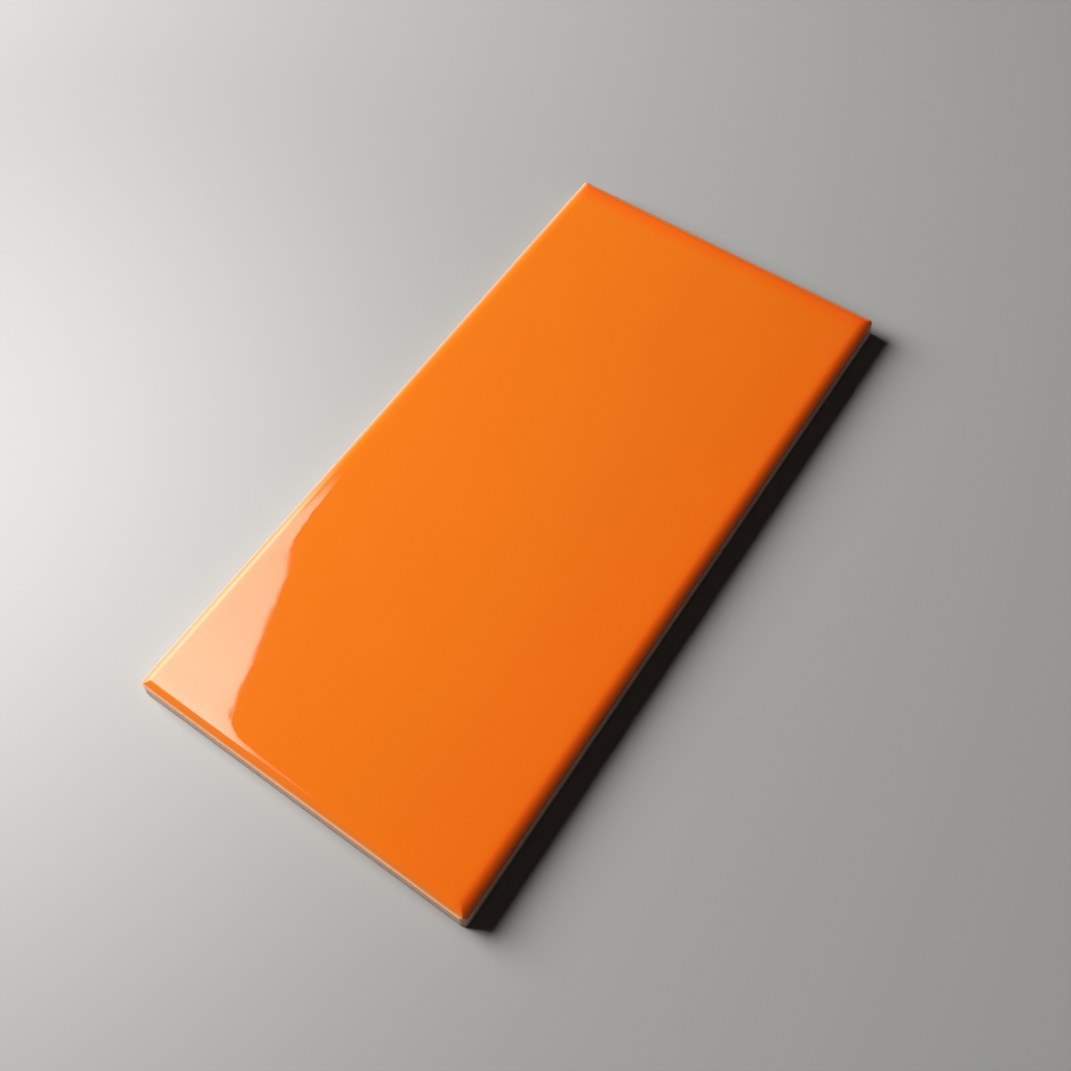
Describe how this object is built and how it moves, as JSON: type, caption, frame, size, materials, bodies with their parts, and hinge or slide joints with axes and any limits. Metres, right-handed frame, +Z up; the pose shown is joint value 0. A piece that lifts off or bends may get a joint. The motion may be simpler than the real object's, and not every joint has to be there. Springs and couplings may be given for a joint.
{
  "type": "rectangular tile",
  "caption": "Rectangular glazed wall tile with a flat gloss face, rounded shoulders, bare leaning sides and a grooved back for adhesive.",
  "frame": {"origin": "middle of the tile's back, on the surface that it lies on", "axes": "+X along the tile's length, +Y across its width, +Z up through the glazed face"},
  "size_m": [0.2, 0.1, 0.007],
  "materials": {
    "glaze": "gloss"
  },
  "bodies": {
    "root": {"tile": "glaze"}
  },
  "joints": []
}
